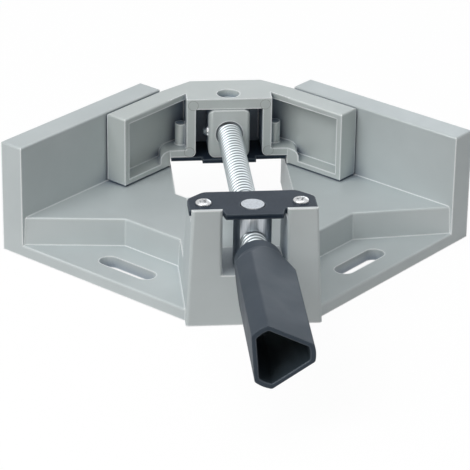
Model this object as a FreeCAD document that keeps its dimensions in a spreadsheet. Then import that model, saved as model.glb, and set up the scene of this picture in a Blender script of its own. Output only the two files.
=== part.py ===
import FreeCAD, Part
import os
import re
import Sketcher

# Corner clamp for 90 degree joints. Origin: the swivel nut's vertical axis, on the resting plane.
# +X right, +Y from the handle towards the corner, +Z up. Millimetres and degrees.

SIZES = {
    # Base: fences. Reaches are measured along Y from the nut axis to where a 45 degree face meets X = 0.
    "fence_reach": 180.2,
    "fence_thickness": 12.6,
    "fence_length": 96.6,
    "fence_height": 55.0,
    "fence_wall": 4.0,
    "fence_core_height": 42.0,
    # Base: flange, floor and openings
    "flange_setback": 39.8,
    "flange_thickness": 5.75,
    "floor_height": 19.3,
    "kink_across": 53.6,
    "kink_setback": 4.0,
    "step_end_gap": 0.7,
    "opening_half_width": 28.0,
    "opening_near": 57.0,
    "bench_slot_across": 53.7,
    "bench_slot_along": 34.5,
    "bench_slot_width": 9.5,
    "bench_slot_length": 32.0,
    "base_wall": 4.0,
    "core_height": 15.3,
    "rib_thickness": 3.0,
    "rib_pitch": 19.8,
    "rib_count": 6,
    # Base: nut block with its two posts
    "block_front": 15.0,
    "block_rear": 16.8,
    "block_half_width": 30.5,
    "block_draft": 2.65,
    "post_gap_half": 14.3,
    "nut_seat_height": 24.0,
    "ledge_depth": 5.5,
    "lip_back": 10.7,
    "block_round": 1.5,
    "kink_round": 1.5,
    "casting_round": 0.9,
    # Nut plate and its screws
    "plate_thickness": 2.5,
    "plate_half_width": 28.6,
    "plate_rear": 14.6,
    "plate_side_rear": 7.7,
    "plate_rear_half": 21.0,
    "plate_front": 5.2,
    "plate_round": 5.0,
    "tongue_root_half": 14.0,
    "tongue_front": 10.6,
    "tongue_front_half": 12.7,
    "plate_screw_across": 21.7,
    "plate_screw_along": 2.0,
    "plate_screw_head": 7.2,
    "plate_screw_rise": 1.5,
    "plate_screw_shank": 4.0,
    "plate_screw_length": 14.0,
    # Swivel nut
    "nut_diameter": 17.2,
    "nut_foot_diameter": 9.0,
    "nut_foot_length": 4.4,
    "nut_boss_diameter": 10.4,
    "nut_boss_rise": 0.3,
    "boss_clearance": 0.35,
    # Clamp screw
    "screw_height": 36.7,
    "thread_diameter": 11.8,
    "screw_tail_diameter": 10.0,
    "screw_tail_length": 52.0,
    "journal_diameter": 10.0,
    "groove_diameter": 7.0,
    "groove_width": 3.6,
    "screw_chamfer": 0.8,
    # Handle
    "neck_gap": 8.0,
    "handle_length": 98.5,
    "handle_radius": 15.1,
    "handle_flat": 10.8,
    "handle_clock": 64.5,
    "neck_radius": 6.8,
    "collar_step": 0.1,
    "collar_length": 16.4,
    "dome_length": 4.6,
    "dome_knee_along": 0.4,
    "dome_knee_out": 0.7,
    "shoulder_length": 12.5,
    "handle_wall": 2.0,
    "handle_corner_wall": 2.4,
    "handle_cavity": 42.0,
    # Jaw
    "rest_gap": 0.9,
    "jaw_reach": 37.6,
    "jaw_half_span": 59.5,
    "jaw_thickness": 11.4,
    "jaw_height": 34.5,
    "jaw_lift": 0.6,
    "jaw_wall": 3.5,
    "jaw_rim": 3.0,
    "nose_half": 17.6,
    "nose_reach": 17.4,
    "relief_across": 32.0,
    "frame_front": 7.1,
    "frame_half": 20.6,
    "frame_wall": 4.4,
    "frame_round": 2.5,
    "nose_wall": 5.0,
    "top_bar": 5.3,
    "foot_thickness": 3.7,
    "foot_half": 33.5,
    "foot_round": 3.0,
    "recess_edge": 5.5,
    "recess_height": 4.5,
    "recess_side_reach": 4.0,
    "plate_boss_across": 22.9,
    "plate_boss_along": 1.8,
    "plate_boss_diameter": 5.6,
    "plate_boss_height": 10.8,
    # Jaw bottom plate and its screws
    "bottom_plate_thickness": 2.0,
    "bottom_tab_half": 13.0,
    "bottom_tab_reach": 3.5,
    "jaw_screw_head": 5.6,
    "jaw_screw_rise": 1.5,
    "jaw_screw_shank": 3.0,
    "jaw_screw_length": 11.0,
    # Pivot block and its pin
    "pivot_width": 20.0,
    "pivot_depth": 17.0,
    "pivot_round": 2.2,
    "trunnion_diameter": 10.9,
    "trunnion_inset": 2.0,
    "mouth_diameter": 13.2,
    "mouth_depth": 1.8,
    "journal_depth": 15.5,
    "pin_along": 4.0,
    "pin_shank": 3.2,
    "pin_head": 5.6,
    "pin_rise": 2.4,
    "pin_crown": 0.5,
    "pin_rim": 0.3,
    # Fits
    "running_fit": 0.05,
    "thread_fit": 0.02,
    "end_play": 0.2,
    "edge_clearance": 0.4,
}

doc = FreeCAD.newDocument("corner_clamp")
sheet = doc.addObject("Spreadsheet::Sheet", "Sizes")
for row, (alias, number) in enumerate(SIZES.items(), 1):
    sheet.set(f"A{row}", alias)
    sheet.set(f"B{row}", str(number))
    sheet.setAlias(f"B{row}", alias)
doc.recompute()


def bound(formula):
    """Turn the size names in a formula into references to the sheet's cells."""
    return re.sub(r"[a-z]\w*", lambda m: f"Sizes.{m[0]}" if m[0] in SIZES else m[0], formula)


def value(formula):
    """Work a formula out with the sheet's present numbers."""
    return float(sheet.evalExpression(bound(formula)))


def sub_part(label, x="0", y="0", z="0"):
    """Start a piece of the clamp, placed in the clamp's frame."""
    body = doc.addObject("PartDesign::Body", label)
    body.Label = label
    for axis, formula in (("x", x), ("y", y), ("z", z)):
        body.setExpression(f"Placement.Base.{axis}", bound(formula))
    return body


def sketch_on(body, plane, offset="0", turn="0"):
    """Put an empty sketch on one of the piece's own origin planes, moved along its normal."""
    sketch = body.newObject("Sketcher::SketchObject", f"{body.Name}_sketch")
    support = next(f for f in body.Origin.OriginFeatures if f.Role == f"{plane}_Plane")
    sketch.AttachmentSupport = [(support, "")]
    sketch.MapMode = "FlatFace"
    sketch.setExpression("AttachmentOffset.Base.z", bound(offset))
    sketch.setExpression("AttachmentOffset.Rotation.Angle", bound(turn))
    return sketch


def bind(sketch, kind, *rest):
    """Add a dimension to a sketch and tie it to a formula."""
    *where, formula = rest
    index = sketch.addConstraint(Sketcher.Constraint(kind, *where, value(formula)))
    sketch.setExpression(f"Constraints[{index}]", bound(formula))


def pin_point(sketch, geometry, point, x, y):
    """Tie a point of a sketch to the sketch's origin."""
    bind(sketch, "DistanceX", -1, 1, geometry, point, x)
    bind(sketch, "DistanceY", -1, 1, geometry, point, y)


def loop(sketch, corners):
    """Draw one closed outline of straight lines through corners given as formulas."""
    first = sketch.GeometryCount
    count = len(corners)
    spots = [FreeCAD.Vector(value(x), value(y), 0) for x, y in corners]
    sketch.addGeometry([Part.LineSegment(spots[i], spots[(i + 1) % count]) for i in range(count)])
    for i, (x, y) in enumerate(corners):
        sketch.addConstraint(
            Sketcher.Constraint("Coincident", first + i, 2, first + (i + 1) % count, 1))
        pin_point(sketch, first + i, 1, x, y)


def mirrored(half):
    """Complete an outline from its right half, which starts and ends at the centre line or near it."""
    return half + [(f"-({x})", y) for x, y in reversed(half) if x != "0"]


def flipped(corners):
    """The same outline on the left side."""
    return [(f"-({x})", y) for x, y in corners]


def circle(sketch, x, y, diameter):
    """Draw one circle."""
    index = sketch.addGeometry(
        Part.Circle(FreeCAD.Vector(value(x), value(y), 0), FreeCAD.Vector(0, 0, 1), value(diameter) / 2))
    pin_point(sketch, index, 3, x, y)
    bind(sketch, "Diameter", index, diameter)


def rounded_slot(sketch, x, y, length, width):
    """Draw a slot with round ends, long along the sketch's X."""
    reach = f"(({length}) - ({width})) / 2"
    radius = value(width) / 2
    right = FreeCAD.Vector(value(f"{x} + {reach}"), value(y), 0)
    left = FreeCAD.Vector(value(f"{x} - {reach}"), value(y), 0)
    up = FreeCAD.Vector(0, radius, 0)
    out = FreeCAD.Vector(radius, 0, 0)
    first = sketch.GeometryCount
    sketch.addGeometry([
        Part.Arc(right - up, right + out, right + up),
        Part.LineSegment(right + up, left + up),
        Part.Arc(left + up, left - out, left - up),
        Part.LineSegment(left - up, right - up),
    ])
    for i in range(4):
        sketch.addConstraint(Sketcher.Constraint("Tangent", first + i, 2, first + (i + 1) % 4, 1))
    pin_point(sketch, first, 3, f"{x} + {reach}", y)
    pin_point(sketch, first + 2, 3, f"{x} - {reach}", y)
    bind(sketch, "Diameter", first, width)


def pad(sketch, length, taper="0"):
    """Extrude a sketch from its plane."""
    feature = sketch.getParent().newObject("PartDesign::Pad", f"{sketch.Name}_pad")
    feature.Profile = sketch
    feature.setExpression("Length", bound(length))
    feature.setExpression("TaperAngle", bound(taper))
    return settle(feature, 1)


def pocket(sketch, length, both=False, reverse=True):
    """Cut along a sketch's normal, or to both sides of its plane."""
    feature = sketch.getParent().newObject("PartDesign::Pocket", f"{sketch.Name}_pocket")
    feature.Profile = sketch
    feature.Midplane = both
    feature.Reversed = reverse
    feature.setExpression("Length", bound(length))
    return settle(feature, -1)


def revolve(sketch, axis):
    """Turn a profile about the sketch's own horizontal or vertical axis."""
    feature = sketch.getParent().newObject("PartDesign::Revolution", f"{sketch.Name}_turned")
    feature.Profile = sketch
    feature.ReferenceAxis = (sketch, [axis])
    feature.Angle = 360
    return settle(feature, 1)


def settle(feature, sign):
    """Recompute, and make sure that the feature added or took away material."""
    doc.recompute()
    before = feature.BaseFeature.Shape.Volume if feature.BaseFeature else 0
    if (feature.Shape.Volume - before) * sign <= 0:
        raise ValueError(f"{feature.Name} changed nothing")
    return feature


def dress(kind, body, size, picks):
    """Round or chamfer the edges of a piece that a test picks."""
    base = body.Tip
    names = [f"Edge{i}" for i, edge in enumerate(base.Shape.Edges, 1) if picks(edge)]
    feature = body.newObject(f"PartDesign::{kind}", f"{body.Name}_{kind.lower()}")
    feature.Base = (base, names)
    feature.setExpression("Radius" if kind == "Fillet" else "Size", bound(size))
    doc.recompute()
    return feature


def all_at(edge, axis, formula):
    """Whether an edge lies wholly at one coordinate of its piece."""
    target = value(formula)
    low, high = (getattr(edge.BoundBox, f"{axis}{end}") for end in ("Min", "Max"))
    return abs(low - target) < 0.01 and abs(high - target) < 0.01


def upright(edge):
    """Whether an edge is vertical, or nearly so where the wall has draft."""
    box = edge.BoundBox
    return box.ZLength > 4 * max(box.XLength, box.YLength)


# Places that several pieces share
FENCE_FACE = "(fence_reach - fence_thickness * sqrt(2))"
LEDGE = "(fence_height - ledge_depth)"
FENCE_END = "(flange_setback - fence_length * sqrt(2))"
PIVOT_Y = f"({FENCE_FACE} - rest_gap * sqrt(2) - jaw_reach)"
JAW_BOTTOM = "(floor_height + jaw_lift)"
JAW_TOP = f"({JAW_BOTTOM} + jaw_height)"
RECESS_TOP = f"({JAW_BOTTOM} + recess_height)"
BAR_BOTTOM = f"({JAW_TOP} - top_bar)"


def crossing(reach, setback):
    """Where the 45 degree lines x + y = reach and x - y = setback meet."""
    return f"({reach} + {setback}) / 2", f"({reach} - {setback}) / 2"


# Base casting
OUTER_FRONT = crossing("fence_reach", "flange_setback")
OUTER_BACK = crossing("fence_reach", FENCE_END)
INNER_FRONT = crossing(FENCE_FACE, "flange_setback")
INNER_BACK = crossing(FENCE_FACE, FENCE_END)
STEP_END = crossing(FENCE_FACE, "(flange_setback - step_end_gap * sqrt(2))")
BLOCK_SIDE = "block_half_width"


def base_blank():
    """Flange, raised floor, fences and nut block as one casting."""
    body = sub_part("base_blank")
    flange = sketch_on(body, "XY")
    joint = "(block_half_width - block_draft)"
    loop(flange, mirrored([OUTER_BACK, OUTER_FRONT, (joint, f"{joint} - flange_setback")]))
    pad(flange, "flange_thickness")
    floor = sketch_on(body, "XY")
    loop(floor, mirrored([
        OUTER_BACK, OUTER_FRONT, INNER_FRONT, STEP_END,
        ("kink_across", "kink_across + kink_setback"),
        (BLOCK_SIDE, f"{BLOCK_SIDE} + kink_setback"),
        (BLOCK_SIDE, "0")]))
    pad(floor, "floor_height", "-block_draft")
    fences = sketch_on(body, "XY")
    fence = [OUTER_FRONT, OUTER_BACK, INNER_BACK, INNER_FRONT]
    loop(fences, fence)
    loop(fences, flipped(fence))
    pad(fences, "fence_height")
    block = sketch_on(body, "XY")
    loop(block, mirrored([(BLOCK_SIDE, "-block_front"), (BLOCK_SIDE, "block_rear")]))
    pad(block, "fence_height", "-block_draft")
    return body


def base_cuts(body):
    """Gap between the posts, ledge for the plate, opening out to the rear, bench slots and holes."""
    gap = sketch_on(body, "XY", "nut_seat_height")
    loop(gap, mirrored([("post_gap_half", "-block_front"), ("post_gap_half", "block_rear")]))
    pocket(gap, "fence_height")
    ledge = sketch_on(body, "XY", LEDGE)
    loop(ledge, mirrored([(BLOCK_SIDE, "-lip_back"), (BLOCK_SIDE, "block_rear")]))
    pocket(ledge, "fence_height")
    opening = sketch_on(body, "XY")
    past_rear = f"({OUTER_BACK[1]} + base_wall)"
    loop(opening, [("0", "opening_near")] + mirrored([
        ("opening_half_width", "opening_near + opening_half_width"),
        ("opening_half_width", past_rear)]))
    pocket(opening, "floor_height")
    for side in (1, -1):
        slots = sketch_on(body, "XY", turn=f"{45 * side}")
        along = f"{side} * (bench_slot_across + bench_slot_along) / sqrt(2)"
        across = "(bench_slot_along - bench_slot_across) / sqrt(2)"
        rounded_slot(slots, along, across, "bench_slot_length", "bench_slot_width")
        pocket(slots, "flange_thickness")
    seat = sketch_on(body, "XY", "nut_seat_height")
    circle(seat, "0", "0", "nut_foot_diameter + 2 * running_fit")
    pocket(seat, "nut_foot_length + end_play", reverse=False)
    threads = sketch_on(body, "XY", LEDGE)
    for side in ("", "-"):
        circle(threads, f"{side}plate_screw_across", "plate_screw_along",
               "plate_screw_shank + 2 * thread_fit")
    pocket(threads, "plate_screw_length", reverse=False)


def base_rounds(body):
    """Rounded arrises of the fences, the posts and the lips."""
    dress("Fillet", body, "casting_round", lambda e: all_at(e, "Z", "fence_height")
          and e.BoundBox.YMin > value("block_rear"))
    dress("Fillet", body, "block_round", lambda e: upright(e)
          and e.BoundBox.YMax < -value("lip_back") and e.BoundBox.ZLength > value("nut_seat_height"))
    dress("Fillet", body, "kink_round", lambda e: upright(e)
          and abs(e.BoundBox.XMax) < value("kink_across + kink_setback")
          and e.BoundBox.XMax ** 2 > value("kink_across - kink_setback") ** 2
          and e.BoundBox.YMin > value("block_rear"))
    dress("Fillet", body, "casting_round", lambda e: all_at(e, "Z", "floor_height")
          and e.BoundBox.YMax < value("kink_across + kink_setback + step_end_gap + base_wall * 2")
          and e.BoundBox.YMin > value("block_rear"))
    dress("Fillet", body, "casting_round", lambda e: all_at(e, "Z", "flange_thickness")
          and abs(e.BoundBox.XLength - e.BoundBox.YLength) < value("edge_clearance")
          and e.BoundBox.YMin < 0)


def underside_cores():
    """What the die leaves hollow under the floor and the fences, cut into cells by ribs."""
    body = sub_part("underside_cores")
    inset = "base_wall * sqrt(2)"
    floor = sketch_on(body, "XY")
    side = "(block_half_width - base_wall)"
    loop(floor, [("0", f"opening_near - {inset}")] + mirrored([
        ("opening_half_width + base_wall",
         f"opening_near - {inset} + opening_half_width + base_wall"),
        ("opening_half_width + base_wall", f"{FENCE_FACE} - opening_half_width - base_wall"),
        crossing(FENCE_FACE, "(flange_setback - (step_end_gap + 2 * base_wall) * sqrt(2))"),
        ("kink_across - base_wall / 2", f"kink_across - base_wall / 2 + kink_setback + {inset}"),
        (side, f"{side} + kink_setback + {inset}"),
        (side, "base_wall - block_front")]))
    pad(floor, "core_height")
    for side in (1, -1):
        ribs = sketch_on(body, "XY", turn=f"{45 * side}")
        reach = "fence_reach"
        for i in range(int(value("rib_count"))):
            middle = f"{side * i} * rib_pitch"
            loop(ribs, [(f"{middle} - rib_thickness / 2", f"-{reach}"),
                        (f"{middle} + rib_thickness / 2", f"-{reach}"),
                        (f"{middle} + rib_thickness / 2", reach),
                        (f"{middle} - rib_thickness / 2", reach)])
        pocket(ribs, "core_height")
    return body


def fence_cores():
    """The slots that the die leaves inside the fences, open below."""
    inset = "fence_wall * sqrt(2)"
    outer = f"(fence_reach - {inset})"
    inner = f"({FENCE_FACE} + {inset})"
    front = f"(flange_setback - {inset})"
    back = f"({FENCE_END} + {inset})"
    right = [crossing(outer, front), crossing(outer, back), crossing(inner, back), crossing(inner, front)]
    cores = []
    for label, outline in (("fence_core_right", right), ("fence_core_left", flipped(right))):
        body = sub_part(label)
        sketch = sketch_on(body, "XY")
        loop(sketch, outline)
        pad(sketch, "fence_core_height")
        cores.append(body)
    return cores


def base_casting():
    """The casting with its hollows taken out from below."""
    body = base_blank()
    base_cuts(body)
    base_rounds(body)
    hollows = doc.addObject("Part::MultiFuse", "hollows")
    hollows.Shapes = [underside_cores()] + fence_cores()
    casting = doc.addObject("Part::Cut", "base_casting")
    casting.Base = body
    casting.Tool = hollows
    return casting


# Nut plate, its screws and the swivel nut
def nut_plate():
    """The black plate that keeps the nut down between the posts."""
    body = sub_part("nut_plate", z=LEDGE)
    blank = sketch_on(body, "XY")
    loop(blank, mirrored([
        ("tongue_front_half", "-tongue_front"),
        ("tongue_root_half", "-plate_front"),
        ("plate_half_width", "-plate_front"),
        ("plate_half_width", "plate_side_rear"),
        ("plate_rear_half", "plate_rear")]))
    pad(blank, "plate_thickness")
    holes = sketch_on(body, "XY")
    circle(holes, "0", "0", "nut_boss_diameter + 2 * boss_clearance")
    for side in ("", "-"):
        circle(holes, f"{side}plate_screw_across", "plate_screw_along",
               "plate_screw_shank + 2 * running_fit")
    pocket(holes, "plate_thickness")
    dress("Fillet", body, "plate_round", lambda e: upright(e)
          and e.BoundBox.YMax > value("plate_side_rear - edge_clearance"))
    return body


def pan_screw(label, x, y, z, size, way=1):
    """A small pan-head screw with its head seated at the given height, up or down."""
    head, rise, shank, length = (f"{size}_{part}" for part in ("head", "rise", "shank", "length"))
    body = sub_part(label, x, y, z)
    profile = sketch_on(body, "XZ")
    loop(profile, [
        ("0", f"{way} * {rise}"),
        (f"{head} / 2", f"{way} * {rise}"),
        (f"{head} / 2", "0"),
        (f"{shank} / 2", "0"),
        (f"{shank} / 2", f"{-way} * {length}"),
        ("0", f"{-way} * {length}")])
    revolve(profile, "V_Axis")
    return body


def swivel_nut():
    """The round nut that turns about the vertical axis, with a foot below and a boss above."""
    body = sub_part("swivel_nut")
    profile = sketch_on(body, "XZ")
    foot = "nut_seat_height - nut_foot_length"
    shoulder = f"{LEDGE} - end_play"
    top = f"{LEDGE} + plate_thickness + nut_boss_rise"
    loop(profile, [
        ("0", foot),
        ("nut_foot_diameter / 2", foot),
        ("nut_foot_diameter / 2", "nut_seat_height"),
        ("nut_diameter / 2", "nut_seat_height"),
        ("nut_diameter / 2", shoulder),
        ("nut_boss_diameter / 2", shoulder),
        ("nut_boss_diameter / 2", top),
        ("0", top)])
    revolve(profile, "V_Axis")
    hole = sketch_on(body, "XZ")
    circle(hole, "0", "screw_height", "thread_diameter + 2 * running_fit")
    pocket(hole, "nut_diameter", both=True)
    return body


# Clamp screw and handle
def clamp_screw():
    """The threaded rod, from its tail in the handle to its grooved journal in the pivot block."""
    body = sub_part("clamp_screw", "0", PIVOT_Y, "screw_height")
    neck = f"(-({PIVOT_Y} + nut_diameter / 2 + neck_gap))"
    shoulder = "(mouth_depth - end_play - pivot_depth / 2)"
    tip = "(journal_depth - end_play - pivot_depth / 2)"
    tail = f"({neck} - screw_tail_length)"
    profile = sketch_on(body, "YZ")
    loop(profile, [
        (tail, "0"),
        (tail, "screw_tail_diameter / 2"),
        (neck, "screw_tail_diameter / 2"),
        (neck, "thread_diameter / 2"),
        (f"{shoulder} - screw_chamfer", "thread_diameter / 2"),
        (shoulder, "thread_diameter / 2 - screw_chamfer"),
        (shoulder, "journal_diameter / 2"),
        ("-pin_along - groove_width / 2", "journal_diameter / 2"),
        ("-pin_along - groove_width / 2", "groove_diameter / 2"),
        ("groove_width / 2 - pin_along", "groove_diameter / 2"),
        ("groove_width / 2 - pin_along", "journal_diameter / 2"),
        (f"{tip} - screw_chamfer", "journal_diameter / 2"),
        (tip, "journal_diameter / 2 - screw_chamfer"),
        (tip, "0")])
    revolve(profile, "H_Axis")
    return body


def handle_grip():
    """The moulded grip: turned, with three flats along it and a hollow at its open end."""
    body = sub_part("handle_grip", "0", "-nut_diameter / 2 - neck_gap", "screw_height")
    profile = sketch_on(body, "YZ")
    collar = "(handle_flat - collar_step)"
    loop(profile, [
        ("0", "0"),
        ("0", "neck_radius"),
        ("-dome_length * dome_knee_along", f"neck_radius + ({collar} - neck_radius) * dome_knee_out"),
        ("-dome_length", collar),
        ("-collar_length", collar),
        ("-collar_length - shoulder_length", "handle_radius"),
        ("-handle_length", "handle_radius"),
        ("-handle_length", "0")])
    revolve(profile, "H_Axis")
    flat = sketch_on(body, "XZ", turn="handle_clock - 90")
    loop(flat, mirrored([("handle_radius", "handle_flat"), ("handle_radius", "handle_radius + handle_wall")]))
    cut = pocket(flat, "handle_length")
    flats = body.newObject("PartDesign::PolarPattern", "handle_flats")
    flats.Originals = [cut]
    flats.Axis = (flat, ["N_Axis"])
    flats.Angle = 360
    flats.Occurrences = 3
    body.Tip = flats
    settle(flats, -1)
    bore = sketch_on(body, "XZ")
    circle(bore, "0", "0", "screw_tail_diameter + 2 * thread_fit")
    pocket(bore, "screw_tail_length + end_play")
    cavity = sketch_on(body, "XZ", "handle_length", "handle_clock - 90")
    flat_in = "(handle_flat - handle_wall)"
    half = f"sqrt((handle_radius - handle_corner_wall) ^ 2 - {flat_in} ^ 2)"
    sine = "(sqrt(3) / 2)"
    loop(cavity, mirrored([
        (half, flat_in),
        (f"{flat_in} * {sine} + {half} / 2", f"{half} * {sine} - {flat_in} / 2"),
        (f"{flat_in} * {sine} - {half} / 2", f"-{half} * {sine} - {flat_in} / 2")]))
    pocket(cavity, "handle_cavity", reverse=False)
    return body


# Jaw
INNER_REACH = "(jaw_reach - jaw_thickness * sqrt(2))"
ARM_END = "(2 * jaw_half_span - jaw_reach)"
WALL_REACH = "(jaw_reach - jaw_wall * sqrt(2))"
WALL_END = f"({ARM_END} - jaw_rim * sqrt(2))"
MOUTH_REACH = f"({INNER_REACH} - jaw_rim)"
OPEN_FRONT = "(-frame_front - jaw_rim)"
FOOT_TOP = f"({RECESS_TOP} + foot_thickness)"
FRONT_CORNER = f"({INNER_REACH} + frame_front)"
RECESS_HALF = "(plate_boss_across + recess_edge)"


def jaw_blank(body):
    """The V of the jaw with its centre frame, cut back above the feet."""
    plan = sketch_on(body, "XY", JAW_BOTTOM)
    loop(plan, mirrored([
        ("nose_half", "nose_reach"),
        ("relief_across", "jaw_reach - relief_across"),
        crossing("jaw_reach", ARM_END),
        crossing(INNER_REACH, ARM_END),
        (FRONT_CORNER, "-frame_front")]))
    pad(plan, "jaw_height")
    dress("Fillet", body, "casting_round", lambda e: not upright(e) and not all_at(e, "Y", "-frame_front"))
    notch = sketch_on(body, "XY", FOOT_TOP)
    right = [("frame_half", OPEN_FRONT),
             (f"{INNER_REACH} - {OPEN_FRONT}", OPEN_FRONT),
             ("frame_half", f"{INNER_REACH} - frame_half")]
    loop(notch, right)
    loop(notch, flipped(right))
    pocket(notch, "jaw_height")


def jaw_hollows(body):
    """Channels of the arms, recess for the bottom plate and room for the pivot block."""
    arm_end = [crossing(WALL_REACH, WALL_END), crossing(MOUTH_REACH, WALL_END)]
    over_feet = arm_end + [
        ("frame_half", OPEN_FRONT),
        ("frame_half", "nose_reach - 2 * jaw_wall"),
        ("relief_across", f"{WALL_REACH} - relief_across")]
    past_feet = arm_end + [
        ("foot_half", f"{MOUTH_REACH} - foot_half"),
        ("foot_half", f"{WALL_REACH} - foot_half")]
    for outline, low, high in ((over_feet, FOOT_TOP, f"({JAW_TOP} - jaw_rim)"),
                               (past_feet, f"({JAW_BOTTOM} + jaw_rim)", FOOT_TOP)):
        channel = sketch_on(body, "XY", low)
        loop(channel, outline)
        loop(channel, flipped(outline))
        pocket(channel, f"{high} - {low}")
    recess = sketch_on(body, "XY", JAW_BOTTOM)
    loop(recess, mirrored([
        (RECESS_HALF, OPEN_FRONT),
        (RECESS_HALF, "recess_side_reach"),
        ("nose_half", "nose_reach - nose_wall")]))
    pocket(recess, "recess_height")
    room = sketch_on(body, "XY", RECESS_TOP)
    half = "(frame_half - frame_wall)"
    loop(room, mirrored([(half, OPEN_FRONT), (half, "nose_reach - nose_wall")]))
    pocket(room, f"{BAR_BOTTOM} - {RECESS_TOP}")


def jaw_holes(body):
    """Bosses and holes for the plate's screws, and the upper trunnion's hole."""
    bosses = sketch_on(body, "XY", RECESS_TOP)
    threads = sketch_on(body, "XY", RECESS_TOP)
    for side in ("", "-"):
        circle(bosses, f"{side}plate_boss_across", "plate_boss_along", "plate_boss_diameter")
        circle(threads, f"{side}plate_boss_across", "plate_boss_along",
               "jaw_screw_shank + 2 * thread_fit")
    pad(bosses, "foot_thickness + plate_boss_height")
    pocket(threads, "jaw_screw_length")
    trunnion = sketch_on(body, "XY", BAR_BOTTOM)
    circle(trunnion, "0", "0", "trunnion_diameter + 2 * running_fit")
    pocket(trunnion, "top_bar")


def jaw_casting():
    """The V-shaped jaw, open to the inside and from below."""
    body = sub_part("jaw_casting", "0", PIVOT_Y, "0")
    jaw_blank(body)
    jaw_hollows(body)
    jaw_holes(body)
    dress("Fillet", body, "foot_round", lambda e: all_at(e, "Z", FOOT_TOP)
          and (all_at(e, "X", "foot_half") or all_at(e, "X", "-foot_half")))
    inside = "(frame_half - frame_wall)"
    dress("Fillet", body, "frame_round", lambda e: all_at(e, "Z", RECESS_TOP)
          and (all_at(e, "X", inside) or all_at(e, "X", f"-{inside}")))
    return body


def jaw_bottom_plate():
    """The black plate in the jaw's recess, which carries the lower trunnion."""
    body = sub_part("jaw_bottom_plate", "0", PIVOT_Y, f"{RECESS_TOP} - bottom_plate_thickness")
    blank = sketch_on(body, "XY")
    side = f"({RECESS_HALF} - edge_clearance)"
    loop(blank, mirrored([
        ("bottom_tab_half", "-frame_front - bottom_tab_reach"),
        ("bottom_tab_half", "-frame_front"),
        (side, "-frame_front"),
        (side, "recess_side_reach - edge_clearance"),
        ("nose_half - edge_clearance", "nose_reach - nose_wall - edge_clearance")]))
    pad(blank, "bottom_plate_thickness")
    holes = sketch_on(body, "XY")
    circle(holes, "0", "0", "trunnion_diameter + 2 * running_fit")
    for side in ("", "-"):
        circle(holes, f"{side}plate_boss_across", "plate_boss_along",
               "jaw_screw_shank + 2 * running_fit")
    pocket(holes, "bottom_plate_thickness")
    return body


def pivot_block():
    """The block that carries the screw's end and swivels in the jaw on two trunnions."""
    body = sub_part("pivot_block", "0", PIVOT_Y, "0")
    blank = sketch_on(body, "XY", f"{RECESS_TOP} + end_play")
    loop(blank, mirrored([("pivot_width / 2", "-pivot_depth / 2"), ("pivot_width / 2", "pivot_depth / 2")]))
    pad(blank, f"{BAR_BOTTOM} - {RECESS_TOP} - 2 * end_play")
    dress("Fillet", body, "pivot_round", upright)
    trunnions = sketch_on(body, "XY", f"{RECESS_TOP} - bottom_plate_thickness")
    circle(trunnions, "0", "0", "trunnion_diameter")
    pad(trunnions, f"{JAW_TOP} - trunnion_inset - {RECESS_TOP} + bottom_plate_thickness")
    front = "pivot_depth / 2"
    for diameter, depth in (("mouth_diameter", "mouth_depth"),
                            ("journal_diameter + 2 * running_fit", "journal_depth")):
        bore = sketch_on(body, "XZ", front)
        circle(bore, "0", "screw_height", diameter)
        pocket(bore, depth, reverse=False)
    pin_hole = sketch_on(body, "YZ", "-pivot_width / 2")
    circle(pin_hole, "-pin_along", "screw_height", "pin_shank + 2 * thread_fit")
    pocket(pin_hole, "pivot_width / 2")
    return body


def block_pin():
    """The round-headed pin whose tip runs in the journal's groove."""
    body = sub_part("block_pin", "-pivot_width / 2", f"{PIVOT_Y} - pin_along", "screw_height")
    tip = "(pivot_width / 2 - groove_diameter / 2 - end_play)"
    profile = sketch_on(body, "XZ")
    loop(profile, [
        ("-pin_rise", "0"),
        ("-pin_rise", "pin_head / 2 * pin_crown"),
        ("-pin_rise * pin_rim", "pin_head / 2"),
        ("0", "pin_head / 2"),
        ("0", "pin_shank / 2"),
        (tip, "pin_shank / 2"),
        (tip, "0")])
    revolve(profile, "H_Axis")
    return body


pieces = [base_casting(), nut_plate(), swivel_nut(), clamp_screw(), handle_grip(), jaw_casting(),
          jaw_bottom_plate(), pivot_block(), block_pin()]
for side, sign in (("right", ""), ("left", "-")):
    pieces.append(pan_screw(f"nut_plate_screw_{side}", f"{sign}plate_screw_across", "plate_screw_along",
                            f"{LEDGE} + plate_thickness", "plate_screw"))
    pieces.append(pan_screw(f"jaw_plate_screw_{side}", f"{sign}plate_boss_across",
                            f"{PIVOT_Y} + plate_boss_along", f"{RECESS_TOP} - bottom_plate_thickness",
                            "jaw_screw", way=-1))
doc.recompute()

for item in doc.Objects:
    if {"Invalid", "Error"} & set(item.State):
        raise ValueError(f"{item.Name} failed: {item.State}")
for piece in pieces:
    if piece.Shape.isNull() or not piece.Shape.isValid() or len(piece.Shape.Solids) != 1:
        raise ValueError(f"{piece.Label} isn't one valid solid")

os.makedirs("parts", exist_ok=True)
for piece in pieces:
    piece.Shape.exportStep(f"parts/{piece.Label}.step")
    box = piece.Shape.optimalBoundingBox()
    print(f"{piece.Label}: {piece.Shape.Volume:.0f} mm3, {box.XMin:.1f} {box.YMin:.1f} {box.ZMin:.1f} to "
          f"{box.XMax:.1f} {box.YMax:.1f} {box.ZMax:.1f}")
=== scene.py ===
import math

import bmesh
import bpy
from mathutils import Matrix, Vector

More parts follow.
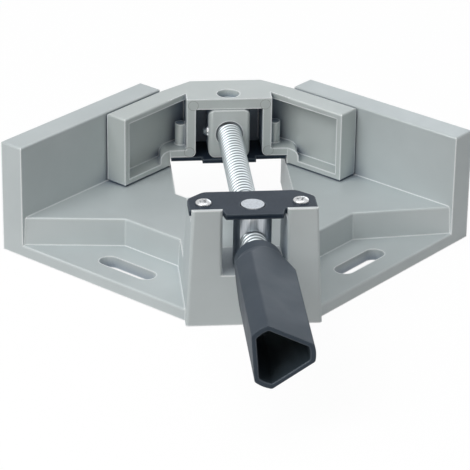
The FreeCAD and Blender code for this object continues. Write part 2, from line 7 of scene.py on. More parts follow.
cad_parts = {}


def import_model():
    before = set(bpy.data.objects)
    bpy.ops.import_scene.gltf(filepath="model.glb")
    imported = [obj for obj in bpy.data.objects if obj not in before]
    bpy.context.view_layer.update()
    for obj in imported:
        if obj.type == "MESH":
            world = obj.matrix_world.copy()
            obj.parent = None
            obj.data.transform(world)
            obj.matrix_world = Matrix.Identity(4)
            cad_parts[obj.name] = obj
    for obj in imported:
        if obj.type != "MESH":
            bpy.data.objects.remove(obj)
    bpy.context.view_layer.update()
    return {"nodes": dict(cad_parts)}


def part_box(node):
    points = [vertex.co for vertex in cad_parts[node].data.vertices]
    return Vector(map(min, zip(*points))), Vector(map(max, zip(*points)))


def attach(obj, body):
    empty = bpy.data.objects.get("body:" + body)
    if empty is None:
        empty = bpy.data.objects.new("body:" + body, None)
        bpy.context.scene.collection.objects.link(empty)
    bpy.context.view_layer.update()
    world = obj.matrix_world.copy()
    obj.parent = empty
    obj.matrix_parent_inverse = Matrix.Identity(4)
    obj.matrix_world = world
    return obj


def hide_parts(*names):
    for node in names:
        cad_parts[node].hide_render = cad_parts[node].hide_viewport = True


# Corner clamp: finishes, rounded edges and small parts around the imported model.
# Metres, +Z up, +Y from the handle to the corner, origin on the floor under the swivel nut.
MM = 0.001

# Camera, fitted to the photograph: place, direction, roll, lens and clipping
CAMERA_PLACE = Vector((-110.8, -1069.08, 544.49)) * MM
CAMERA_AZIMUTH = math.radians(-5.51)
CAMERA_ELEVATION = math.radians(25.28)
CAMERA_ROLL = math.radians(0.82)
SENSOR = 36.0
LENS = 205.0
CLIP_NEAR = 0.05
CLIP_FAR = 50.0

# Thread of the clamp screw; its crest and each flank are shares of the lead
LEAD = 3.0 * MM
THREAD_CREST = 5.9 * MM
THREAD_DEPTH = 0.95 * MM
CREST_SHARE = 0.20
FLANK_SHARE = 0.30
THREAD_SIDES = 64
THREAD_ROWS_PER_TURN = 16
THREAD_INTO_HANDLE = 2 * LEAD
THREAD_INTO_BLOCK = 1.5 * MM
THREAD_RUN_IN = LEAD
THREAD_RUN_OUT = LEAD / 3

# Plain core of the clamp screw, and its steps up to the thread at both ends
CORE_INSET = 1.2 * MM
CORE_STEP_NEAR = 1.0 * MM
CORE_STEP_FAR = 0.4 * MM

# Painted light on the thread, by shares of its depth: painted shade below the first, painted highlight
# above the second
GROOVE_SHADE_SHARE = 0.66
CREST_HIGHLIGHT_SHARE = 0.16

# Handle: a turned body with flats, and its neck, dome, collar and shoulder
GRIP_FLAT = 10.8 * MM
GRIP_FLATS = 3
GRIP_RADIUS = 15.1 * MM
GRIP_CLOCK = math.radians(64.5)
GRIP_EDGE = 0.45 * MM
GRIP_NECK_RADIUS = 6.3 * MM
GRIP_COLLAR_RADIUS = 10.7 * MM
GRIP_NECK_BACK = 4.5 * MM
GRIP_DOME = 6.4 * MM
GRIP_DOME_POWER = 1.7
GRIP_COLLAR = 11.9 * MM
GRIP_SHOULDER = 12.5 * MM
GRIP_CREASE = 0.4 * MM
GRIP_SIDES = 216
GRIP_DOME_STEPS = 14
GRIP_SHOULDER_STEPS = 24

# Dip in the handle's neck face, in mm: how far in from the neck's radius, how far behind its front
GRIP_NECK_DIP = ((2.0, 1.0), (1.2, 0.1), (0.6, 0.0))

# Hollow end of the handle
GRIP_WALL = 2.0 * MM
GRIP_CORNER_WALL = 2.4 * MM
GRIP_CAVITY = 42.0 * MM
GRIP_CAVITY_DRAFT = 0.4 * MM
GRIP_CAVITY_CHAMFER = 1.0 * MM
GRIP_RIM = 0.3 * MM
GRIP_RIM_STEPS = 4

# Pivot block
BLOCK_ROUND = 3.4 * MM
BLOCK_ROUND_STEPS = 8
BLOCK_TRUNNION = 5.6 * MM
BLOCK_TRUNNION_SUNK = 1.8 * MM
BLOCK_SPARE = 0.05 * MM
BLOCK_FLANK_BAND = 0.1 * MM

# Ejector-pin rings on the jaw's frame, in mm: places across and up, and section as radius and height
MARK_PLACES = ((-17.4, 51.2), (17.4, 51.2), (-19.2, 27.0), (19.2, 27.0))
MARK_SECTION = ((2.32, 0.0), (2.38, 0.05), (2.48, 0.05), (2.54, 0.0))
MARK_SIDES = 40

# Small screws: straight side and flat crown of the head as shares of its rise and radius
HEAD_SIDES = 48
HEAD_STEPS = 6
HEAD_STRAIGHT = 0.35
HEAD_CROWN = 0.45

# Cross recess of a small screw, in shares of the head's radius, and its taper in shares of its reach
RECESS_REACH = 0.58
RECESS_WIDTH = 0.17
RECESS_DEPTH = 1.1 * MM
RECESS_ABOVE = 0.5 * MM
RECESS_MOUTH = 1.15
RECESS_FLOOR = 0.5

# Small screws by group: body, plate, head up 1 or down -1, shank as a share of the head, recess turns
SCREWS = {
    "nut_plate": ("base", "nut_plate", 1, 0.55, {"left": 0.5, "right": 0.2}),
    "jaw_plate": ("jaw", "jaw_bottom_plate", -1, 0.53, {"left": 0.9, "right": 0.3}),
}

# Rounded edges: widths, the least angle, and how near points and how flat faces are joined first
CAST_EDGE = 0.35 * MM
PLATE_EDGE = 0.3 * MM
NUT_EDGE = 0.6 * MM
BLOCK_EDGE = 0.9 * MM
EDGE_ANGLE = math.radians(32.0)
WELD_REACH = 0.002 * MM
FLAT_ANGLE = math.radians(0.6)

# Angle in degrees over which an edge of a new piece is sharp
SHARP_THREAD = 60.0
SHARP_GRIP = 25.0
SHARP_MARK = 30.0
SHARP_HEAD = 35.0

# Painted shade of deep recesses
SHADE_REACH = 20.0 * MM
SHADE_TINT = (0.30, 0.37, 0.52, 1.0)
SHADE_SAMPLES = 8

# Painted highlight along the edges of castings, plates and mouldings
EDGE_HIGHLIGHT_REACH = 1.3 * MM
RIM_HIGHLIGHT_REACH = 0.9 * MM
HIGHLIGHT_SAMPLES = 8
SILVER_HIGHLIGHT = (0.93, 0.96, 0.97, 1)
BLACK_HIGHLIGHT = (0.10, 0.12, 0.14, 1)
GRIP_HIGHLIGHT = (0.30, 0.33, 0.36, 1)
# Darker tone of the ejector-pin rings: a painted shade of their fine step
MARK_SHADE = (0.34, 0.37, 0.36, 1)

# Sockets of the mix node for colours, which come after its float and vector ones
MIX_FACTOR = 0
MIX_FIRST = 6
MIX_SECOND = 7

# Studio floor: half side, drop under the object, grey, and share and strength of its glow to the eye
FLOOR_HALF = 6.0
FLOOR_DROP = 0.05 * MM
FLOOR_GREY = 0.62
FLOOR_GLOW = 0.9
FLOOR_GLOW_STRENGTH = 1.06

# Light of the surroundings
FILL_TINT = (0.96, 0.98, 1.0, 1.0)
FILL_STRENGTH = 0.16

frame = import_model()
nodes = frame["nodes"]
screw_low, screw_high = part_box("clamp_screw")
screw_height = (screw_low.z + screw_high.z) / 2


# Materials
def shader(name):
    """A new material, its Principled shader and its node tree's builder functions."""
    material = bpy.data.materials.new(name)
    material.use_nodes = True
    tree = material.node_tree
    surface = next(n for n in tree.nodes if n.type == "BSDF_PRINCIPLED")

    def add(kind, **inputs):
        node = tree.nodes.new(kind)
        for key, given in inputs.items():
            node.inputs[key.replace("_", " ")].default_value = given
        return node

    def join(source, output, target, socket):
        shown = next(out for out in source.outputs if out.name == output and out.enabled)
        tree.links.new(shown, target.inputs[socket])

    return material, surface, add, join


def object_noise(add, join, scale, detail=3.0, roughness=0.5, stretch=(1, 1, 1)):
    """Noise fixed to the piece, its scale in features per metre."""
    coordinates = add("ShaderNodeTexCoord")
    mapping = add("ShaderNodeMapping", Scale=stretch)
    noise = add("ShaderNodeTexNoise", Scale=scale, Detail=detail, Roughness=roughness)
    join(coordinates, "Object", mapping, "Vector")
    join(mapping, "Vector", noise, "Vector")
    return noise


def ramp(add, join, source, output, low, high, start=0.3, end=0.7):
    """A colour ramp from low to high over part of a value's range."""
    node = add("ShaderNodeValToRGB")
    node.color_ramp.elements[0].position = start
    node.color_ramp.elements[1].position = end
    node.color_ramp.elements[0].color = low
    node.color_ramp.elements[1].color = high
    join(source, output, node, "Fac")
    return node


def grey(level):
    return level, level, level, 1.0


def uneven_gloss(add, join, source, surface, roughness, smoother=0.06, rougher=0.08):
    """Roughness that varies a little with a texture."""
    gloss = ramp(add, join, source, "Fac", grey(roughness - smoother), grey(roughness + rougher))
    join(gloss, "Color", surface, "Roughness")


def bump(add, join, source, surface, strength, distance, under=None):
    """Small relief from a texture, over another relief if there is one."""
    node = add("ShaderNodeBump", Strength=strength, Distance=distance)
    join(source, "Fac", node, "Height")
    if under is not None:
        join(under, "Normal", node, "Normal")
    join(node, "Normal", surface, "Normal")
    return node


def colour_mix(add, blend_type):
    """A mix node for colours."""
    node = add("ShaderNodeMix")
    node.data_type = "RGBA"
    node.blend_type = blend_type
    return node


def by_open_sky(add, join, deep, open_tone, start, end):
    """A colour that goes from deep to open_tone as a point sees more of its surroundings."""
    open_sky = add("ShaderNodeAmbientOcclusion", Distance=SHADE_REACH)
    open_sky.samples = SHADE_SAMPLES
    return ramp(add, join, open_sky, "AO", deep, open_tone, start, end)


def painted_recess_shade(add, join, tone):
    """Darken a colour in deep recesses: a painted shade."""
    shade = by_open_sky(add, join, SHADE_TINT, grey(1.0), start=0.06, end=0.44)
    product = colour_mix(add, "MULTIPLY")
    product.inputs[MIX_FACTOR].default_value = 1.0
    join(tone, "Color", product, MIX_FIRST)
    join(shade, "Color", product, MIX_SECOND)
    return product


def painted_edge_highlight(add, join, tone, output, edge_highlight, reach=EDGE_HIGHLIGHT_REACH, full=0.92, none=0.996):
    """Lighten a colour along edges: a painted highlight.

    The highlight is whole where the rounded normal's likeness to the face's is under full, and gone over
    none.
    """
    rounded = add("ShaderNodeBevel", Radius=reach)
    rounded.samples = HIGHLIGHT_SAMPLES
    face = add("ShaderNodeNewGeometry")
    likeness = add("ShaderNodeVectorMath")
    likeness.operation = "DOT_PRODUCT"
    join(rounded, "Normal", likeness, 0)
    join(face, "Normal", likeness, 1)
    highlight_mask = ramp(add, join, likeness, "Value", grey(1.0), grey(0.0), full, none)
    highlighted = colour_mix(add, "MIX")
    highlighted.inputs[MIX_SECOND].default_value = edge_highlight
    join(highlight_mask, "Color", highlighted, MIX_FACTOR)
    join(tone, output, highlighted, MIX_FIRST)
    return highlighted


def cast_metal(name, low, high, metallic, roughness, edge_highlight):
    """A satin silver coat on a die casting: faint clouds, fine grain and a slightly uneven gloss, with
    painted shade in deep recesses and a painted highlight along edges.
    """
    material, surface, add, join = shader(name)
    clouds = object_noise(add, join, scale=22.0, detail=4.0)
    tone = ramp(add, join, clouds, "Fac", low, high)
    # Painted shade in deep recesses
    shaded = painted_recess_shade(add, join, tone)
    # Painted highlight along edges
    join(painted_edge_highlight(add, join, shaded, "Result", edge_highlight), "Result", surface, "Base Color")
    patches = object_noise(add, join, scale=140.0)
    uneven_gloss(add, join, patches, surface, roughness, smoother=0.05, rougher=0.06)
    surface.inputs["Metallic"].default_value = metallic
    peel = object_noise(add, join, scale=900.0, detail=2.0)
    grain = object_noise(add, join, scale=5200.0, detail=2.0)
    waves = bump(add, join, peel, surface, strength=0.10, distance=0.12 * MM)
    bump(add, join, grain, surface, strength=0.16, distance=0.03 * MM, under=waves)
    return material


def black_coat(name, low, high, roughness, edge_highlight):
    """Satin black-blue coat on sheet steel, with a painted highlight along its edges."""
    material, surface, add, join = shader(name)
    clouds = object_noise(add, join, scale=60.0)
    tone = ramp(add, join, clouds, "Fac", low, high)
    # Painted highlight along the plate's edges
    join(painted_edge_highlight(add, join, tone, "Color", edge_highlight), "Result", surface, "Base Color")
    specks = object_noise(add, join, scale=1600.0, detail=2.0)
    uneven_gloss(add, join, specks, surface, roughness)
    surface.inputs["Metallic"].default_value = 0.0
    surface.inputs["Specular IOR Level"].default_value = 0.19
    surface.inputs["Specular Tint"].default_value = (0.62, 0.80, 1.0, 1.0)
    bump(add, join, specks, surface, strength=0.12, distance=0.04 * MM)
    return material


def bright_steel(name, low, high, roughness, scale, relief, stretch=(1, 1, 1)):
    """Turned or plated steel, with fine marks that run along the axis whose stretch is smallest."""
    material, surface, add, join = shader(name)
    marks = object_noise(add, join, scale, roughness=0.6, stretch=stretch)
    tone = ramp(add, join, marks, "Fac", low, high)
    join(tone, "Color", surface, "Base Color")
    uneven_gloss(add, join, marks, surface, roughness)
    surface.inputs["Metallic"].default_value = 1.0
    bump(add, join, marks, surface, strength=relief, distance=0.03 * MM)
    return material


def thread_zinc(name, low, high, roughness):
    """Zinc plate on a rolled thread, with a painted highlight on its crests and painted shade in its
    grooves.
    """
    material, surface, add, join = shader(name)
    coordinates = add("ShaderNodeTexCoord")
    about_axis = add("ShaderNodeMapping",
                     Location=(0, 0, -screw_height / THREAD_CREST),
                     Scale=(1 / THREAD_CREST, 0, 1 / THREAD_CREST))
    reach = add("ShaderNodeVectorMath")
    reach.operation = "LENGTH"
    join(coordinates, "Object", about_axis, "Vector")
    join(about_axis, "Vector", reach, 0)
    depth = THREAD_DEPTH / THREAD_CREST
    groove, crest = 1 - GROOVE_SHADE_SHARE * depth, 1 - CREST_HIGHLIGHT_SHARE * depth
    # Painted shade in the grooves and painted highlight on the crests
    tone = ramp(add, join, reach, "Value", low, high, groove, crest)
    join(tone, "Color", surface, "Base Color")
    marks = object_noise(add, join, scale=1500.0, roughness=0.6, stretch=(1, 3, 1))
    uneven_gloss(add, join, marks, surface, roughness)
    surface.inputs["Metallic"].default_value = 1.0
    bump(add, join, marks, surface, strength=0.06, distance=0.03 * MM)
    return material


def moulded_plastic(name, low, high, roughness, edge_highlight):
    """Matte dark plastic with a fine spark-eroded grain, faint clouds and a painted highlight along its
    edges.
    """
    material, surface, add, join = shader(name)
    clouds = object_noise(add, join, scale=35.0, detail=4.0)
    tone = ramp(add, join, clouds, "Fac", low, high)
    # Painted highlight along the handle's rims and edges
    rim = painted_edge_highlight(add, join, tone, "Color", edge_highlight, RIM_HIGHLIGHT_REACH, full=0.82, none=0.96)
    join(rim, "Result", surface, "Base Color")
    patches = object_noise(add, join, scale=90.0)
    uneven_gloss(add, join, patches, surface, roughness, smoother=0.03, rougher=0.04)
    grain = object_noise(add, join, scale=3800.0, detail=2.0)
    surface.inputs["Specular IOR Level"].default_value = 0.38
    surface.inputs["Specular Tint"].default_value = (0.74, 0.87, 1.0, 1.0)
    bump(add, join, grain, surface, strength=0.25, distance=0.04 * MM)
    return material


def cavity_with_painted_light(name, mouth, depth, roughness):
    """The inside of a hollow moulding: dark at its mouth, and lighter deep inside, a painted light."""
    material, surface, add, join = shader(name)
    # Lighter deep inside: painted light where little light reaches
    tone = by_open_sky(add, join, depth, mouth, start=0.04, end=0.40)
    join(tone, "Color", surface, "Base Color")
    grain = object_noise(add, join, scale=3800.0, detail=2.0)
    surface.inputs["Roughness"].default_value = roughness
    surface.inputs["Specular IOR Level"].default_value = 0.2
    bump(add, join, grain, surface, strength=0.2, distance=0.04 * MM)
    return material


def finish_node(name, material):
    """Give a CAD node its material."""
    piece = nodes[name]
    piece.data.materials.clear()
    piece.data.materials.append(material)
    return piece


def soften(piece, width, segments=2):
    """Round a piece's sharp edges with modifiers."""
    weld = piece.modifiers.new("weld", "WELD")
    weld.merge_threshold = WELD_REACH
    clean = piece.modifiers.new("clean", "DECIMATE")
    clean.decimate_type = "DISSOLVE"
    clean.angle_limit = FLAT_ANGLE
    edge = piece.modifiers.new("edge", "BEVEL")
    edge.width = width
    edge.segments = segments
    edge.limit_method = "ANGLE"
    edge.angle_limit = EDGE_ANGLE
    edge.use_clamp_overlap = True
    edge.harden_normals = True


# Meshes
def mesh_of(name, work):
    """Turn a bmesh into a mesh, and free it."""
    mesh = bpy.data.meshes.new(name)
    work.to_mesh(mesh)
    work.free()
    return mesh


def new_object(name, data):
    """An object in the scene."""
    made = bpy.data.objects.new(name, data)
    bpy.context.scene.collection.objects.link(made)
    return made


def new_piece(name, work, material, body, sharp_angle):
    """Turn a bmesh into a piece that rides on a body."""
    bmesh.ops.recalc_face_normals(work, faces=work.faces)
    mesh = mesh_of(name, work)
    mesh.materials.append(material)
    mesh.shade_smooth()
    piece = new_object(name, mesh)
    sharpen(mesh, sharp_angle)
    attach(piece, body)
    return piece


def sharpen(mesh, angle):
    """Mark the edges over an angle as sharp, so that flat faces stay flat."""
    work = bmesh.new()
    work.from_mesh(mesh)
    limit = math.radians(angle)
    for edge in work.edges:
        edge.smooth = len(edge.link_faces) != 2 or edge.calc_face_angle(0.0) < limit
    work.to_mesh(mesh)
    work.free()


def skin(work, rings, closed=True):
    """Join rings of equally many points into a tube, with flat ends if it is closed."""
    rows = [[work.verts.new(point) for point in ring] for ring in rings]
    sides = len(rows[0])
    for lower, upper in zip(rows, rows[1:]):
        for i in range(sides):
            j = (i + 1) % sides
            work.faces.new((lower[i], lower[j], upper[j], upper[i]))
    if closed:
        work.faces.new(rows[0][::-1])
        work.faces.new(rows[-1])
    return rows


def circle(radius, sides):
    """Points of a circle about the origin, in its own plane."""
    turns = (2 * math.pi * i / sides for i in range(sides))
    return [(radius * math.cos(turn), radius * math.sin(turn)) for turn in turns]


def around(radius, sides, y, centre_z, centre_x=0.0):
    """Points of a circle about a line along Y."""
    return [(centre_x + across, y, centre_z + up) for across, up in circle(radius, sides)]


def closed_form(name, rings):
    """A closed form that cuts another piece."""
    work = bmesh.new()
    skin(work, rings)
    bmesh.ops.recalc_face_normals(work, faces=work.faces)
    return new_object(name, mesh_of(name, work))


def carve(piece, form, operation):
    """Take a form from a piece, or keep what the two share, and drop the form."""
    cut = piece.modifiers.new("cut", "BOOLEAN")
    cut.operation = operation
    cut.solver = "EXACT"
    cut.object = form
    graph = bpy.context.evaluated_depsgraph_get()
    mesh = bpy.data.meshes.new_from_object(piece.evaluated_get(graph), depsgraph=graph)
    piece.modifiers.clear()
    piece.data = mesh
    bpy.data.objects.remove(form)


def thread_drop(phase):
    """Depth of a rounded trapezoidal thread below its crest, at a share of the lead."""
    phase -= math.floor(phase)
    if phase < CREST_SHARE:
        return 0.0
    if phase > 1 - FLANK_SHARE:
        share = (1 - phase) / FLANK_SHARE
    elif phase < CREST_SHARE + FLANK_SHARE:
        share = (phase - CREST_SHARE) / FLANK_SHARE
    else:
        share = 1.0
    return THREAD_DEPTH * (1 - math.cos(math.pi * share)) / 2


def threaded_screw(material):
    """The clamp screw with its rolled thread, from the tail in the handle to the journal."""
    radius = screw_high.x
    core = radius - CORE_INSET
    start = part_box("handle_grip")[1].y - GRIP_NECK_BACK - THREAD_INTO_HANDLE
    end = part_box("pivot_block")[0].y + THREAD_INTO_BLOCK
    rings = [around(core, THREAD_SIDES, y, screw_height) for y in (screw_low.y, start - CORE_STEP_NEAR)]
    count = round((end - start) / LEAD * THREAD_ROWS_PER_TURN)
    for k in range(count + 1):
        y = start + (end - start) * k / count
        full = min(1.0, (y - start) / THREAD_RUN_IN, (end - y) / THREAD_RUN_OUT)
        ring = []
        for i in range(THREAD_SIDES):
            turn = 2 * math.pi * i / THREAD_SIDES
            # A right-hand thread: seen from the handle, the ridge runs away from the eye clockwise
            phase = y / LEAD + turn / (2 * math.pi)
            here = core + (radius - thread_drop(phase) - core) * full
            ring.append((here * math.cos(turn), y, screw_height + here * math.sin(turn)))
        rings.append(ring)
    rings += [around(core, THREAD_SIDES, y, screw_height) for y in (end + CORE_STEP_FAR, screw_high.y)]
    work = bmesh.new()
    skin(work, rings)
    piece = new_piece("threaded_screw", work, material, "screw", SHARP_THREAD)
    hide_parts("clamp_screw")


def grip_reach(turn, radius, inset, corner_inset):
    """Distance from the axis to the grip's surface: a round body with flats, edges rounded."""
    spread = 2 * math.pi / GRIP_FLATS
    from_flats = (math.remainder(turn - GRIP_CLOCK - k * spread, 2 * math.pi) for k in range(GRIP_FLATS))
    nearest = min(from_flats, key=abs)
    flat = (GRIP_FLAT - inset) / math.cos(nearest)
    round_part = radius - corner_inset
    blend = max(GRIP_EDGE - abs(flat - round_part), 0.0)
    return min(flat, round_part) - blend * blend / (4 * GRIP_EDGE)


def grip_profile(depth):
    """Radius of the turned body at a distance behind its front: dome, collar, shoulder, full size."""
    if depth < GRIP_DOME:
        share = 1 - depth / GRIP_DOME
        return GRIP_NECK_RADIUS + (GRIP_COLLAR_RADIUS - GRIP_NECK_RADIUS) * (1 - share ** GRIP_DOME_POWER)
    if depth < GRIP_COLLAR:
        return GRIP_COLLAR_RADIUS
    share = min((depth - GRIP_COLLAR) / GRIP_SHOULDER, 1.0)
    return GRIP_COLLAR_RADIUS + (GRIP_RADIUS - GRIP_COLLAR_RADIUS) * share


def grip_ring(y, radius, inset=0.0, corner_inset=0.0):
    """One ring of the handle's surface, inset for the rim and the hollow."""
    points = []
    for i in range(GRIP_SIDES):
        turn = 2 * math.pi * i / GRIP_SIDES
        reach = grip_reach(turn, radius, inset, corner_inset)
        points.append((reach * math.cos(turn), y, screw_height + reach * math.sin(turn)))
    return points


def grip(material, inner_material):
    """The moulded handle: domed neck, round collar, shoulder, three-sided body and hollow end."""
    low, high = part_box("handle_grip")
    front = high.y - GRIP_NECK_BACK
    rings = [around(GRIP_NECK_RADIUS - inset * MM, GRIP_SIDES, front - back * MM, screw_height)
             for inset, back in GRIP_NECK_DIP]
    depths = [GRIP_DOME * k / GRIP_DOME_STEPS for k in range(GRIP_DOME_STEPS + 1)]
    depths += [GRIP_COLLAR - GRIP_CREASE, GRIP_COLLAR]
    for k in range(1, GRIP_SHOULDER_STEPS + 1):
        depths.append(GRIP_COLLAR + GRIP_SHOULDER * k / GRIP_SHOULDER_STEPS)
    depths += [GRIP_COLLAR + GRIP_SHOULDER + GRIP_CREASE, (front - low.y) / 2]
    rings += [grip_ring(front - depth, grip_profile(depth)) for depth in depths]
    for k in range(GRIP_RIM_STEPS + 1):
        turn = math.pi / 2 * k / GRIP_RIM_STEPS
        inset = GRIP_RIM * (1 - math.cos(turn))
        rings.append(grip_ring(low.y + GRIP_RIM * (1 - math.sin(turn)), GRIP_RADIUS, inset, inset))
    rings.append(grip_ring(low.y, GRIP_RADIUS, GRIP_WALL - GRIP_RIM, GRIP_CORNER_WALL - GRIP_RIM))
    lining = ((GRIP_RIM, 0.0),
              (GRIP_CAVITY - GRIP_CAVITY_CHAMFER, GRIP_CAVITY_DRAFT),
              (GRIP_CAVITY, GRIP_CAVITY_DRAFT + GRIP_CAVITY_CHAMFER))
    for depth, extra in lining:
        rings.append(grip_ring(low.y + depth, GRIP_RADIUS, GRIP_WALL + extra, GRIP_CORNER_WALL + extra))
    work = bmesh.new()
    rows = skin(work, rings)
    cavity = {vertex for row in rows[-len(lining):] for vertex in row}
    for face in work.faces:
        face.material_index = int(cavity.issuperset(face.verts))
    piece = new_piece("grip", work, material, "screw", SHARP_GRIP)
    piece.data.materials.append(inner_material)
    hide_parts("handle_grip")


def block_outline(half, bottom, top, low_end, high_end):
    """The pivot block's outline across the screw: rounded corners, and a trunnion below and above."""
    outline = [(BLOCK_TRUNNION, high_end), (BLOCK_TRUNNION, top)]
    for middle, start in ((top - BLOCK_ROUND, math.pi / 2), (bottom + BLOCK_ROUND, 0.0)):
        for k in range(BLOCK_ROUND_STEPS + 1):
            turn = start - math.pi / 2 * k / BLOCK_ROUND_STEPS
            across = half - BLOCK_ROUND + BLOCK_ROUND * math.cos(turn)
            outline.append((across, middle + BLOCK_ROUND * math.sin(turn)))
    outline += [(BLOCK_TRUNNION, bottom), (BLOCK_TRUNNION, low_end)]
    return outline + [(-x, z) for x, z in reversed(outline)]


def rounded_block(material):
    """The pivot block with its corners rounded across the screw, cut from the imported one."""
    node = nodes["pivot_block"]
    low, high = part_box("pivot_block")
    points = [node.matrix_world @ vertex.co for vertex in node.data.vertices]
    flanks = [point.z for point in points if abs(abs(point.x) - high.x) < BLOCK_FLANK_BAND]
    outline = block_outline(high.x + BLOCK_SPARE, min(flanks) - BLOCK_SPARE, max(flanks) + BLOCK_SPARE,
                            low.z - BLOCK_SPARE, high.z - BLOCK_TRUNNION_SUNK)
    ends = (low.y - BLOCK_SPARE, high.y + BLOCK_SPARE)
    form = closed_form("block_form", [[(x, y, z) for x, z in outline] for y in ends])
    mesh = node.data.copy()
    mesh.transform(node.matrix_world)
    mesh.materials.clear()
    mesh.materials.append(material)
    piece = new_object("rounded_block", mesh)
    carve(piece, form, "INTERSECT")
    soften(piece, BLOCK_EDGE, segments=3)
    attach(piece, "block")
    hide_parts("pivot_block")


def ejector_marks(material):
    """The faint rings that the die's ejector pins leave on the front of the jaw's frame."""
    jaw = nodes["jaw_casting"]
    inward = jaw.matrix_world.inverted()
    ahead = inward.to_3x3() @ Vector((0.0, 1.0, 0.0))
    for k, (x, z) in enumerate(MARK_PLACES):
        eye = inward @ Vector((x * MM, 0.0, z * MM))
        spot = jaw.matrix_world @ jaw.ray_cast(eye, ahead)[1]
        rings = [around(reach * MM, MARK_SIDES, spot.y - rise * MM, spot.z, spot.x)
                 for reach, rise in MARK_SECTION]
        work = bmesh.new()
        skin(work, rings, closed=False)
        new_piece(f"ejector_mark_{k}", work, material, "jaw", SHARP_MARK)


def pan_head(group, side, material):
    """A cross-recess pan head with its shank, in place of a plain screw."""
    body, plate, way, shank_share, turns = SCREWS[group]
    node = f"{group}_screw_{side}"
    name = f"{group}_screw_head_{side}"
    low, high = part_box(node)
    radius = (high.x - low.x) / 2
    centre = Vector(((low.x + high.x) / 2, (low.y + high.y) / 2, 0.0))
    plate_low, plate_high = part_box(plate)
    seat, crown, tail = (plate_high.z, high.z, low.z) if way == 1 else (plate_low.z, low.z, high.z)
    rise = abs(crown - seat)
    shank = radius * shank_share
    profile = [(shank, tail), (shank, seat), (radius, seat), (radius, seat + way * rise * HEAD_STRAIGHT)]
    for k in range(1, HEAD_STEPS + 1):
        bend = math.pi / 2 * k / HEAD_STEPS
        reach = radius * (HEAD_CROWN + (1 - HEAD_CROWN) * math.cos(bend))
        profile.append((reach, seat + way * rise * (HEAD_STRAIGHT + (1 - HEAD_STRAIGHT) * math.sin(bend))))
    rings = []
    for reach, z in profile:
        rings.append([(centre.x + x, centre.y + y, z) for x, y in circle(reach, HEAD_SIDES)])
    work = bmesh.new()
    skin(work, rings)
    piece = new_piece(name, work, material, body, SHARP_HEAD)
    carve(piece, cross_form(name + "_recess", radius, centre, crown, way, turns[side]), "DIFFERENCE")
    sharpen(piece.data, SHARP_HEAD)
    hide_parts(node)


def cross_form(name, radius, centre, crown, way, turn):
    """A tapered cross, of twelve corners, that cuts a screw's recess."""
    reach = radius * RECESS_REACH
    half = radius * RECESS_WIDTH
    mouth = (crown + way * RECESS_ABOVE, RECESS_MOUTH * reach)
    bottom = (crown - way * RECESS_DEPTH, RECESS_FLOOR * reach)
    rings = []
    for z, tip in (mouth, bottom):
        ring = []
        for quarter in range(4):
            angle = turn + quarter * math.pi / 2
            for along, across in ((tip, -half), (tip, half), (half, half)):
                ring.append((centre.x + along * math.cos(angle) - across * math.sin(angle),
                             centre.y + along * math.sin(angle) + across * math.cos(angle), z))
        rings.append(ring)
    return closed_form(name, rings)


# Stage
def camera():
    """The photograph's camera."""
    back = Vector((math.sin(CAMERA_AZIMUTH) * math.cos(CAMERA_ELEVATION),
                   -math.cos(CAMERA_AZIMUTH) * math.cos(CAMERA_ELEVATION),
                   math.sin(CAMERA_ELEVATION)))
    level = Vector((math.cos(CAMERA_AZIMUTH), math.sin(CAMERA_AZIMUTH), 0.0))
    up = back.cross(level)
    right = math.cos(CAMERA_ROLL) * level + math.sin(CAMERA_ROLL) * up
    top = -math.sin(CAMERA_ROLL) * level + math.cos(CAMERA_ROLL) * up
    data = bpy.data.cameras.new("camera")
    data.sensor_width = SENSOR
    data.lens = LENS
    data.clip_start = CLIP_NEAR
    data.clip_end = CLIP_FAR
    eye = new_object("camera", data)
    turn = Matrix((right, top, back)).transposed().to_4x4()
    eye.matrix_world = Matrix.Translation(CAMERA_PLACE) @ turn
    bpy.context.scene.camera = eye


def softbox(name, place, aim, width, height, power, tint=(1.0, 1.0, 1.0)):
    """A rectangular studio lamp aimed at a point."""
    data = bpy.data.lights.new(name, "AREA")
    data.shape = "RECTANGLE"
    data.size = width
    data.size_y = height
    data.energy = power
    data.color = tint
    lamp = new_object(name, data)
    lamp.location = place
    lamp.rotation_euler = (Vector(aim) - Vector(place)).to_track_quat("-Z", "Y").to_euler()


def camera_mix(tree, seen, other, output):
    """Show one shader to the eye, directly, mirrored or through glass, and the other to the light."""
    path = tree.nodes.new("ShaderNodeLightPath")
    mirrored = tree.nodes.new("ShaderNodeMath")
    mirrored.operation = "MAXIMUM"
    either = tree.nodes.new("ShaderNodeMath")
    either.operation = "MAXIMUM"
    mix = tree.nodes.new("ShaderNodeMixShader")
    tree.links.new(path.outputs["Is Glossy Ray"], mirrored.inputs[0])
    tree.links.new(path.outputs["Is Transmission Ray"], mirrored.inputs[1])
    tree.links.new(path.outputs["Is Camera Ray"], either.inputs[0])
    tree.links.new(mirrored.outputs[0], either.inputs[1])
    tree.links.new(either.outputs[0], mix.inputs[0])
    tree.links.new(other, mix.inputs[1])
    tree.links.new(seen, mix.inputs[2])
    tree.links.new(mix.outputs[0], output)


def floor():
    """A white floor that keeps a light shadow."""
    work = bmesh.new()
    bmesh.ops.create_grid(work, x_segments=1, y_segments=1, size=FLOOR_HALF)
    mesh = mesh_of("studio_floor", work)
    ground = new_object("studio_floor", mesh)
    ground.location.z = -FLOOR_DROP
    material, surface, add, join = shader("studio_white")
    surface.inputs["Base Color"].default_value = grey(FLOOR_GREY)
    surface.inputs["Roughness"].default_value = 0.7
    surface.inputs["Specular IOR Level"].default_value = 0.1
    glow = add("ShaderNodeEmission", Color=grey(1.0), Strength=FLOOR_GLOW_STRENGTH)
    part = add("ShaderNodeMixShader", Fac=FLOOR_GLOW)
    join(surface, "BSDF", part, 1)
    join(glow, "Emission", part, 2)
    tree = material.node_tree
    output = next(n for n in tree.nodes if n.type == "OUTPUT_MATERIAL").inputs["Surface"]
    camera_mix(tree, part.outputs[0], surface.outputs[0], output)
    mesh.materials.append(material)


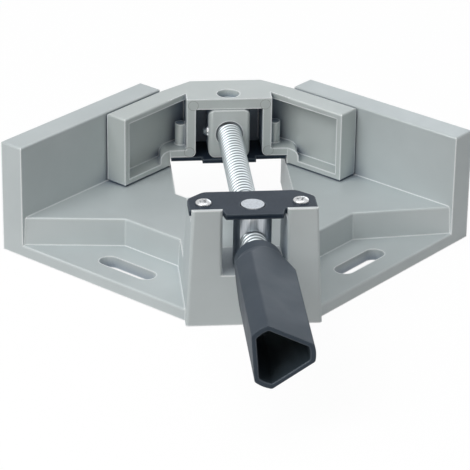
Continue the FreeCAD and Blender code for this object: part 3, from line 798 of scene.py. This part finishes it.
def world():
    """Even pale surroundings, white to the eye."""
    sky = bpy.data.worlds.new("studio")
    sky.use_nodes = True
    tree = sky.node_tree
    fill = next(n for n in tree.nodes if n.type == "BACKGROUND")
    fill.inputs["Color"].default_value = FILL_TINT
    fill.inputs["Strength"].default_value = FILL_STRENGTH
    seen = tree.nodes.new("ShaderNodeBackground")
    seen.inputs["Color"].default_value = grey(1.0)
    seen.inputs["Strength"].default_value = 1.0
    output = next(n for n in tree.nodes if n.type == "OUTPUT_WORLD").inputs["Surface"]
    camera_mix(tree, seen.outputs[0], fill.outputs[0], output)
    bpy.context.scene.world = sky


# Finishes of the pieces
silver = cast_metal("silver_base", low=(0.545, 0.60, 0.61, 1), high=(0.605, 0.66, 0.67, 1),
                    metallic=0.18, roughness=0.46, edge_highlight=SILVER_HIGHLIGHT)
silver_jaw = cast_metal("silver_jaw", low=(0.55, 0.60, 0.595, 1), high=(0.61, 0.66, 0.655, 1),
                        metallic=0.18, roughness=0.44, edge_highlight=SILVER_HIGHLIGHT)
raw_metal = cast_metal("block_metal", low=(0.59, 0.64, 0.635, 1), high=(0.66, 0.71, 0.705, 1),
                       metallic=0.18, roughness=0.40, edge_highlight=SILVER_HIGHLIGHT)
# Painted shade: the rings are darker than the coat around them
mark = cast_metal("ejector_mark", low=MARK_SHADE, high=(0.40, 0.43, 0.42, 1),
                  metallic=0.3, roughness=0.5, edge_highlight=MARK_SHADE)
black = black_coat("black_plate", low=(0.013, 0.021, 0.034, 1), high=(0.022, 0.032, 0.049, 1),
                   roughness=0.44, edge_highlight=BLACK_HIGHLIGHT)
turned = bright_steel("turned_steel", low=(0.37, 0.40, 0.43, 1), high=(0.59, 0.63, 0.67, 1),
                      roughness=0.34, scale=1500.0, relief=0.06, stretch=(1, 1, 0.06))
bright = bright_steel("bright_pin", low=(0.66, 0.68, 0.70, 1), high=(0.74, 0.76, 0.78, 1),
                      roughness=0.20, scale=900.0, relief=0.05)
zinc_head = bright_steel("zinc_heads", low=(0.48, 0.49, 0.50, 1), high=(0.66, 0.67, 0.68, 1),
                         roughness=0.26, scale=1800.0, relief=0.14)
# The thread's low tone is its painted groove shade, its high tone its painted crest highlight
zinc = thread_zinc("zinc_thread", low=(0.11, 0.13, 0.14, 1), high=(0.70, 0.755, 0.78, 1), roughness=0.34)
plastic = moulded_plastic("grip_plastic", low=(0.029, 0.040, 0.054, 1), high=(0.039, 0.052, 0.070, 1),
                          roughness=0.52, edge_highlight=GRIP_HIGHLIGHT)
# The hollow's lighter depth colour is painted light
hollow = cavity_with_painted_light("grip_hollow", mouth=(0.028, 0.040, 0.050, 1), depth=(0.29, 0.38, 0.45, 1),
                      roughness=0.62)

# The pieces
soften(finish_node("base_casting", silver), CAST_EDGE)
soften(finish_node("jaw_casting", silver_jaw), CAST_EDGE)
soften(finish_node("nut_plate", black), PLATE_EDGE)
soften(finish_node("jaw_bottom_plate", black), PLATE_EDGE)
soften(finish_node("swivel_nut", turned), NUT_EDGE)
finish_node("block_pin", bright)
rounded_block(raw_metal)
ejector_marks(mark)
threaded_screw(zinc)
grip(plastic, hollow)
for screw_group in SCREWS:
    pan_head(screw_group, "left", zinc_head)
    pan_head(screw_group, "right", zinc_head)

# The studio
camera()
floor()
world()
softbox("key", place=(-0.78, -0.49, 0.90), aim=(0, 0.06, 0.02), width=0.8, height=0.8, power=8.1)
softbox("top", place=(0.0, 0.15, 1.2), aim=(0, 0.06, 0.02), width=1.0, height=1.0, power=3.5)
softbox("front", place=(-0.30, -1.2, 0.3), aim=(0, 0.0, 0.03), width=1.1, height=0.4, power=1.45,
        tint=(1.0, 0.84, 0.70))
softbox("rim", place=(0.55, 1.35, 0.36), aim=(0.02, -0.06, 0.035), width=0.7, height=0.5, power=2.0,
        tint=(0.86, 0.93, 1.0))

scene = bpy.context.scene
scene.view_settings.view_transform = "Standard"
